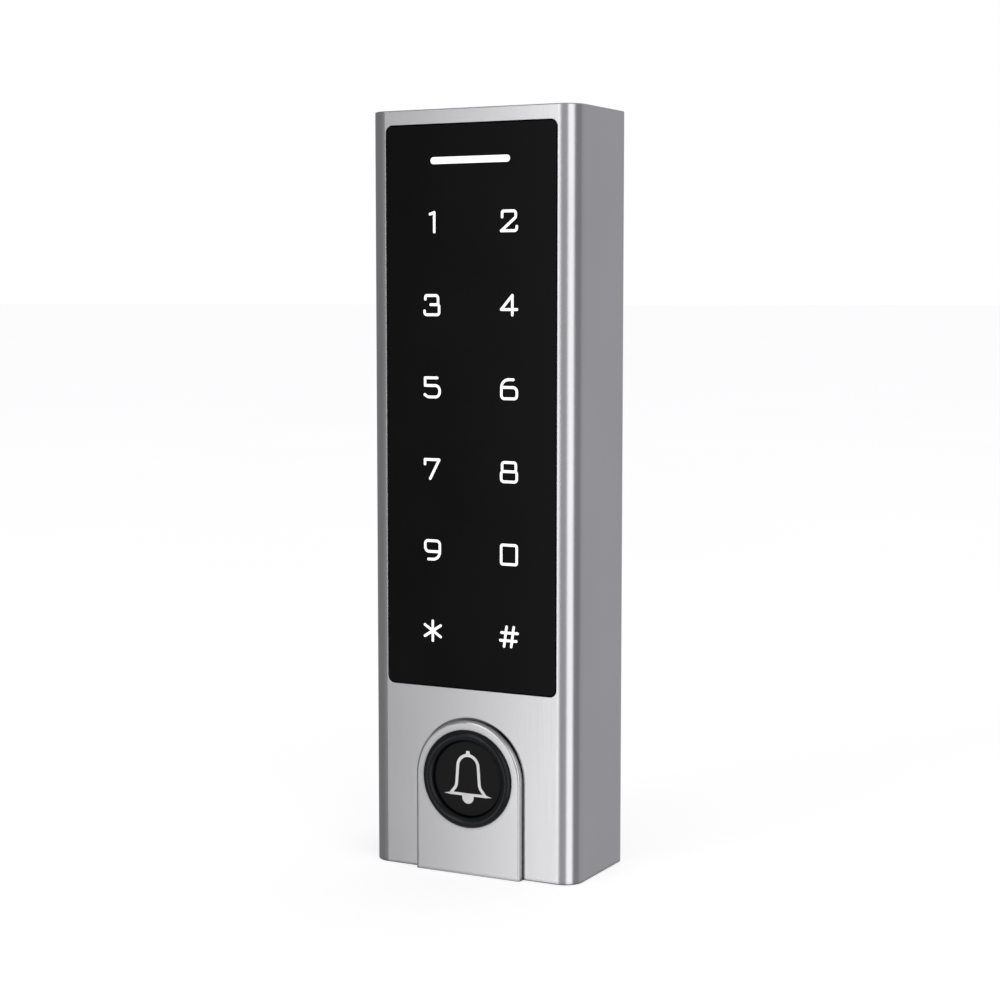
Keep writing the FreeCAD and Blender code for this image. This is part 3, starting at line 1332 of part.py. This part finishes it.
# ---------------------------------------------------------------- all parts
PARTS = {
    "front_housing": front_housing,
    "touch_panel": touch_panel,
    "key_legends": key_legends,
    "light_bar_lens": light_bar_lens,
    "panel_tape": panel_tape,
    "light_guide": light_guide,
    "key_lights": key_lights,
    "status_lights": status_lights,
    "touch_board": touch_board,
    "touch_controller_chip": touch_controller_chip,
    "antenna_coil": antenna_coil,
    "ferrite_sheet": ferrite_sheet,
    "bell_plate": bell_plate,
    "bell_plate_screws": bell_plate_screws,
    "bell_button_bezel": bell_button_bezel,
    "bell_button_cap": bell_button_cap,
    "bell_icon": bell_icon,
    "bell_button_guide": bell_button_guide,
    "button_spring": button_spring,
    "bezel_nut_seal": bezel_nut_seal,
    "bezel_nut": bezel_nut,
    "bell_switch_body": bell_switch_body,
    "bell_switch_plunger": bell_switch_plunger,
    "main_board": main_board,
    "main_board_screws": main_board_screws,
    "board_spacers": board_spacers,
    "board_header": board_header,
    "board_socket": board_socket,
    "microcontroller": microcontroller,
    "microcontroller_legs": microcontroller_legs,
    "card_reader_chip": card_reader_chip,
    "crystal": crystal,
    "voltage_regulator": voltage_regulator,
    "power_inductor": power_inductor,
    "chip_resistors": chip_resistors,
    "tamper_light_sensor": tamper_light_sensor,
    "cable_connector": cable_connector,
    "cable_connector_pins": cable_connector_pins,
    "door_relay": door_relay,
    "buzzer": buzzer,
    "capacitors": capacitors,
    "rear_gasket": rear_gasket,
    "rear_cover": rear_cover,
    "rear_cover_screws": rear_cover_screws,
    "tamper_window": tamper_window,
    "cable_grommet": cable_grommet,
    "wall_bracket": wall_bracket,
    "security_screw": security_screw,
}


def main():
    os.makedirs("parts", exist_ok=True)
    for name, make in PARTS.items():
        shape = make()
        solids = shape.Solids
        sound = shape.isValid() and all(s.Volume > 0 for s in solids)
        state = "ok" if sound else "BAD"
        print(f"{name:24s} solids {len(solids):3d}  volume {shape.Volume:10.2f} mm3  {state}")
        shape.exportStep(f"parts/{name}.step")


main()
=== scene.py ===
import json
import math

import bpy
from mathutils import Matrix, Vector


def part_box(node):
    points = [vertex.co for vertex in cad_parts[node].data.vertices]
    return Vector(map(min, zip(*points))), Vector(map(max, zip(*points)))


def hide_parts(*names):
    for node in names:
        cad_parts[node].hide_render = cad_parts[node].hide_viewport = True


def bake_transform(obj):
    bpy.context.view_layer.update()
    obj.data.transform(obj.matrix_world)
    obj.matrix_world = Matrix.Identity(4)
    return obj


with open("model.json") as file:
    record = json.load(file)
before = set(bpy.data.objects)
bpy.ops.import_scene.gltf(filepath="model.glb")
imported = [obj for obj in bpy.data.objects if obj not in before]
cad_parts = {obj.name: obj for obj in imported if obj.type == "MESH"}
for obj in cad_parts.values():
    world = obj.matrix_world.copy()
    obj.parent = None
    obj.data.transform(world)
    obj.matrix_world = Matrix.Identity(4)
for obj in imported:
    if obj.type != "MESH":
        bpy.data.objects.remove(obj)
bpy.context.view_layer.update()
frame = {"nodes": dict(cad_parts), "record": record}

MM = 0.001

# The reader faces -Y and stands along Z. Places below come from these boxes.
housing_low, housing_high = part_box("front_housing")
front_y = housing_low.y
floor_z = housing_low.z
height = housing_high.z - housing_low.z

CAMERA_YAW = 27.55        # degrees to the right of the reader's front
CAMERA_PITCH = 5.37       # degrees down
CAMERA_LENS = 76.2        # millimetres, on a sensor of the width below
SENSOR_WIDTH = 36
CAMERA_PLACE = (188.8 * MM, -349.8 * MM, 109.2 * MM)   # from the front face's middle bottom point

FLOOR_HALF_SIZE = 60.0
FLOOR_GLOW = 0.60         # keeps the floor as pale as the backdrop
# How bright the surroundings are, by direction from the left (-1) to the right (1).
ROOM_LEVELS = ((-1.0, 0.24), (-0.75, 0.25), (-0.4, 0.46), (0.84, 0.46), (0.93, 0.29), (1.0, 0.29))
ROOM_TINT = (1.0, 0.985, 1.02)
# Name, degrees to the right of the reader's front, width in degrees, and radiance.
LIGHTS = (("left_light", -19.5, 14, 1.76), ("right_light", 50.5, 37, 1.15))
LIGHT_FAR = 1.2           # how far each light stands from the reader
LIGHT_TALL = 1.7

NOISE_BAND = (0.3, 0.7)   # where most of a noise texture's values lie
PAINTED_SHADE_REACH = 0.7 * MM   # how far the painted shade reaches from a nearby surface into the metal's colour
SATIN_EDGE = 0.12 * MM    # softened edges of the metal
PANEL_EDGE = 0.08 * MM
GRAIN_PER_METRE = 2600
GRAIN_STRETCH = (1.0, 1.0, 0.03)
GRAIN_DEPTH = 0.0012 * MM
CELLS_PER_METRE = 260     # pattern of the circuit boards


# ---------------------------------------------------------------- nodes for materials
class Material:
    """A node material built around one Principled shader."""

    def __init__(self, name, **inputs):
        self.material = bpy.data.materials.new(name)
        self.material.use_nodes = True
        self.tree = self.material.node_tree
        self.shader = self.tree.nodes["Principled BSDF"]
        for socket, value in inputs.items():
            self.shader.inputs[socket.replace("_", " ")].default_value = value

    def node(self, kind, **settings):
        new = self.tree.nodes.new(kind)
        for name, value in settings.items():
            setattr(new, name, value)
        return new

    def link(self, source, target):
        self.tree.links.new(source, target)

    def noise(self, scale, detail=3.0, stretch=(1, 1, 1)):
        """Noise in object space, stretched along each axis; scale counts per metre."""
        place = self.node("ShaderNodeTexCoord")
        mapping = self.node("ShaderNodeMapping")
        mapping.inputs["Scale"].default_value = stretch
        texture = self.node("ShaderNodeTexNoise")
        texture.inputs["Scale"].default_value = scale
        texture.inputs["Detail"].default_value = detail
        self.link(place.outputs["Object"], mapping.inputs["Vector"])
        self.link(mapping.outputs["Vector"], texture.inputs["Vector"])
        return texture.outputs["Fac"]

    def spread(self, factor, low, high):
        """A noise factor mapped from its middle band to low and high."""
        ramp = self.node("ShaderNodeMapRange")
        ramp.inputs["From Min"].default_value = NOISE_BAND[0]
        ramp.inputs["From Max"].default_value = NOISE_BAND[1]
        ramp.inputs["To Min"].default_value = low
        ramp.inputs["To Max"].default_value = high
        self.link(factor, ramp.inputs["Value"])
        return ramp.outputs["Result"]

    def vary_roughness(self, factor, low, high):
        self.link(self.spread(factor, low, high), self.shader.inputs["Roughness"])

    def vary_colour(self, factor, dark, light):
        mix = self.node("ShaderNodeMix", data_type="RGBA")
        mix.inputs["A"].default_value = (*dark, 1)
        mix.inputs["B"].default_value = (*light, 1)
        self.link(self.spread(factor, 0.0, 1.0), mix.inputs["Factor"])
        self.link(mix.outputs["Result"], self.shader.inputs["Base Color"])

    def paint_crevice_shade(self, reach):
        """Painted shade in grooves: the colour falls off where other surfaces are near."""
        colour = self.shader.inputs["Base Color"].links[0].from_socket
        # the occlusion darkens the base colour itself: painted shade, not dirt
        painted_shade = self.node("ShaderNodeAmbientOcclusion", samples=8)
        painted_shade.inputs["Distance"].default_value = reach
        self.link(colour, painted_shade.inputs["Color"])
        self.link(painted_shade.outputs["Color"], self.shader.inputs["Base Color"])

    def bump(self, factor, depth, strength=0.3, edge=0.0):
        """Fine relief of the given depth in metres, with optional softened edges."""
        relief = self.node("ShaderNodeBump")
        relief.inputs["Distance"].default_value = depth
        relief.inputs["Strength"].default_value = strength
        self.link(factor, relief.inputs["Height"])
        if edge:
            soft = self.node("ShaderNodeBevel", samples=4)
            soft.inputs["Radius"].default_value = edge
            self.link(soft.outputs["Normal"], relief.inputs["Normal"])
        self.link(relief.outputs["Normal"], self.shader.inputs["Normal"])


def shade(colour, factor):
    return tuple(min(1.0, c * factor) for c in colour[:3])


# ---------------------------------------------------------------- materials
def satin_metal(name, colour, rough, brushed):
    """Satin metal with a fine brushed grain along Z."""
    m = Material(name, Metallic=1.0)
    grain = m.noise(GRAIN_PER_METRE, 4.0, GRAIN_STRETCH)
    cloud = m.noise(28, 2.0)
    m.vary_colour(cloud, shade(colour, 0.965), shade(colour, 1.03))
    # painted shade: the metal's colour darkens in its grooves and seams
    m.paint_crevice_shade(PAINTED_SHADE_REACH)
    m.vary_roughness(grain, rough - brushed, rough + brushed)
    m.bump(grain, GRAIN_DEPTH, 0.14, SATIN_EDGE)
    return m.material


def panel_black(name, colour):
    """Gloss black window with a faint haze."""
    m = Material(name, IOR=1.46)
    m.shader.inputs["Specular IOR Level"].default_value = 0.05
    haze = m.noise(60, 3.0)
    m.vary_colour(haze, shade(colour, 0.9), shade(colour, 1.1))
    m.vary_roughness(haze, 0.16, 0.22)
    m.bump(m.noise(700, 2.0), 0.001 * MM, 0.15, PANEL_EDGE)
    return m.material


def white_with_painted_glow(name, colour, glow):
    """White translucent plastic with a painted glow of its own."""
    m = Material(name, Roughness=0.45)
    # painted light: an even glow that brightens the white beyond what the lamps give it
    m.shader.inputs["Emission Color"].default_value = (1, 1, 1, 1)
    m.shader.inputs["Emission Strength"].default_value = glow
    milk = m.noise(500, 2.0)
    m.vary_colour(milk, shade(colour, 0.97), colour)
    m.vary_roughness(milk, 0.4, 0.5)
    m.bump(milk, 0.002 * MM, 0.2)
    return m.material


def moulded(name, colour, rough, grain=1500, depth=0.006 * MM, specular=0.5):
    """Moulded plastic or rubber with a fine surface texture."""
    m = Material(name)
    m.shader.inputs["Specular IOR Level"].default_value = specular
    skin = m.noise(grain, 3.0)
    cloud = m.noise(40, 2.0)
    m.vary_colour(cloud, shade(colour, 0.88), shade(colour, 1.12))
    m.vary_roughness(skin, max(0.05, rough - 0.06), rough + 0.06)
    m.bump(skin, depth, 0.3)
    return m.material


def plain_metal(name, colour, rough):
    """Turned, drawn or plated metal."""
    m = Material(name, Metallic=1.0)
    wear = m.noise(600, 3.0)
    m.vary_colour(m.noise(90, 2.0), shade(colour, 0.9), shade(colour, 1.08))
    m.vary_roughness(wear, rough - 0.06, rough + 0.08)
    m.bump(wear, 0.004 * MM, 0.3)
    return m.material


def clear_lens(name, colour):
    m = Material(name, Roughness=0.1, IOR=1.49)
    m.shader.inputs["Transmission Weight"].default_value = 0.9
    haze = m.noise(120, 2.0)
    m.vary_colour(haze, shade(colour, 0.95), colour)
    m.vary_roughness(haze, 0.06, 0.14)
    m.bump(haze, 0.002 * MM, 0.1)
    return m.material


def circuit_board(name, colour):
    """Solder mask over copper tracks, as a faint grid of cells."""
    m = Material(name, Roughness=0.35)
    place = m.node("ShaderNodeTexCoord")
    cells = m.node("ShaderNodeTexBrick")
    cells.inputs["Scale"].default_value = CELLS_PER_METRE
    cells.inputs["Mortar Size"].default_value = 0.08
    m.link(place.outputs["Object"], cells.inputs["Vector"])
    m.vary_colour(cells.outputs["Fac"], colour, shade(colour, 1.6))
    m.vary_roughness(m.noise(300), 0.3, 0.42)
    m.bump(cells.outputs["Fac"], 0.03 * MM, 0.3)
    return m.material


SLOT_MAKERS = {
    "satin_metal": lambda n, c: satin_metal(n, (0.60, 0.60, 0.61), 0.25, 0.015),
    "plate_metal": lambda n, c: satin_metal(n, (0.61, 0.61, 0.615), 0.25, 0.015),
    "panel_black": lambda n, c: panel_black(n, (0.005, 0.005, 0.0051)),
    # the legends carry a painted glow
    "legend_white": lambda n, c: white_with_painted_glow(n, (0.9, 0.9, 0.9), 0.45),
    "bezel_black": lambda n, c: moulded(n, (0.0055, 0.0065, 0.008), 0.24, 900, 0.0012 * MM, 0.24),
    "cap_black": lambda n, c: moulded(n, (0.008, 0.008, 0.0083), 0.42, 1800, 0.004 * MM, 0.12),
    "icon_silver": lambda n, c: plain_metal(n, (0.78, 0.77, 0.76), 0.34),
    "stainless": lambda n, c: satin_metal(n, (0.50, 0.50, 0.51), 0.36, 0.06),
    "spring_steel": lambda n, c: plain_metal(n, c, 0.25),
    "steel_screw": lambda n, c: plain_metal(n, c, 0.3),
    "brass_nut": lambda n, c: plain_metal(n, c, 0.3),
    "gold_pin": lambda n, c: plain_metal(n, c, 0.25),
    "copper_winding": lambda n, c: plain_metal(n, c, 0.3),
    "tinned_metal": lambda n, c: plain_metal(n, c, 0.35),
    "capacitor_can": lambda n, c: plain_metal(n, c, 0.32),
    "clear_lens": clear_lens,
    "board_green": circuit_board,
    "seal_rubber": lambda n, c: moulded(n, c, 0.6, 1200, 0.01 * MM, 0.3),
    "cover_plastic": lambda n, c: moulded(n, c, 0.5, 1400, 0.02 * MM),
}


def dress_nodes():
    """Gives each CAD node the material of its slot."""
    colours = {m["slot"]: tuple(m["base_color"][:3]) for m in frame["record"]["materials"]}
    slots = {s["node"]: s["material_slot"] for s in frame["record"]["subparts"]}
    made = {}
    for node, obj in frame["nodes"].items():
        slot = slots[node]
        if slot not in made:
            maker = SLOT_MAKERS.get(slot, lambda n, c: moulded(n, c, 0.45))
            made[slot] = maker(slot + "_look", colours[slot])
        obj.data.materials.clear()
        obj.data.materials.append(made[slot])


def add_springy_coils():
    """A copy of the bell push's spring that stands in for the CAD spring, which is hidden."""
    rigid = frame["nodes"]["button_spring"]
    coils = bpy.data.objects.new("button_spring_coils", rigid.data.copy())
    coils.matrix_world = rigid.matrix_world.copy()
    bpy.context.scene.collection.objects.link(coils)
    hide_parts("button_spring")
    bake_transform(coils)


# ---------------------------------------------------------------- stage
def add_floor():
    turns = ((-1, -1), (1, -1), (1, 1), (-1, 1))
    corners = [(x * FLOOR_HALF_SIZE, y * FLOOR_HALF_SIZE, floor_z) for x, y in turns]
    mesh = bpy.data.meshes.new("floor")
    mesh.from_pydata(corners, [], [(0, 1, 2, 3)])
    floor = bpy.data.objects.new("floor", mesh)
    bpy.context.scene.collection.objects.link(floor)
    m = Material("floor_look", Roughness=0.9)
    m.shader.inputs["Specular IOR Level"].default_value = 0.0
    m.shader.inputs["Emission Color"].default_value = (1, 1, 1, 1)
    m.shader.inputs["Emission Strength"].default_value = FLOOR_GLOW
    m.vary_colour(m.noise(6, 2.0), (0.88, 0.88, 0.88), (0.9, 0.9, 0.9))
    mesh.materials.append(m.material)
    floor.visible_glossy = False   # metal mirrors the even surroundings all the way down


def add_light(name, azimuth, spread, radiance):
    """A tall soft light that faces the middle of the reader's front."""
    data = bpy.data.lights.new(name, "AREA")
    data.shape = "RECTANGLE"
    data.size = 2 * LIGHT_FAR * math.tan(math.radians(spread / 2))
    data.size_y = LIGHT_TALL
    data.energy = radiance * math.pi * data.size * data.size_y
    angle = math.radians(azimuth)
    middle = Vector((0, front_y, floor_z + height / 2))
    lamp = bpy.data.objects.new(name, data)
    lamp.location = middle + LIGHT_FAR * Vector((math.sin(angle), -math.cos(angle), 0))
    lamp.rotation_euler = (math.radians(90), 0, angle)
    bpy.context.scene.collection.objects.link(lamp)


def add_world():
    """Even studio surroundings, dimmer to the left. The camera sees them as plain white."""
    world = bpy.data.worlds.new("studio")
    world.use_nodes = True
    tree = world.node_tree
    shown = tree.nodes["Background"]
    shown.inputs["Color"].default_value = (1, 1, 1, 1)
    place = tree.nodes.new("ShaderNodeTexCoord")
    axes = tree.nodes.new("ShaderNodeSeparateXYZ")
    across = tree.nodes.new("ShaderNodeMapRange")
    across.inputs["From Min"].default_value = -1
    level = tree.nodes.new("ShaderNodeValToRGB")
    stops = level.color_ramp.elements
    while len(stops) < len(ROOM_LEVELS):
        stops.new(0.5)
    for stop, (x, brightness) in zip(stops, ROOM_LEVELS):
        stop.position = (x + 1) / 2
        stop.color = (*(brightness * tint for tint in ROOM_TINT), 1)
    lit = tree.nodes.new("ShaderNodeBackground")
    path = tree.nodes.new("ShaderNodeLightPath")
    mix = tree.nodes.new("ShaderNodeMixShader")
    tree.links.new(place.outputs["Generated"], axes.inputs["Vector"])
    tree.links.new(axes.outputs["X"], across.inputs["Value"])
    tree.links.new(across.outputs["Result"], level.inputs["Fac"])
    tree.links.new(level.outputs["Color"], lit.inputs["Color"])
    tree.links.new(path.outputs["Is Camera Ray"], mix.inputs["Fac"])
    tree.links.new(lit.outputs["Background"], mix.inputs[1])
    tree.links.new(shown.outputs["Background"], mix.inputs[2])
    tree.links.new(mix.outputs["Shader"], tree.nodes["World Output"].inputs["Surface"])
    bpy.context.scene.world = world


def add_camera():
    data = bpy.data.cameras.new("camera")
    data.sensor_width = SENSOR_WIDTH
    data.lens = CAMERA_LENS
    camera = bpy.data.objects.new("camera", data)
    camera.location = Vector((0, front_y, floor_z)) + Vector(CAMERA_PLACE)
    camera.rotation_euler = (math.radians(90 - CAMERA_PITCH), 0, math.radians(CAMERA_YAW))
    bpy.context.scene.collection.objects.link(camera)
    bpy.context.scene.camera = camera


add_camera()
add_floor()
add_world()
for light in LIGHTS:
    add_light(*light)
dress_nodes()
add_springy_coils()
bpy.context.scene.view_settings.view_transform = "Standard"
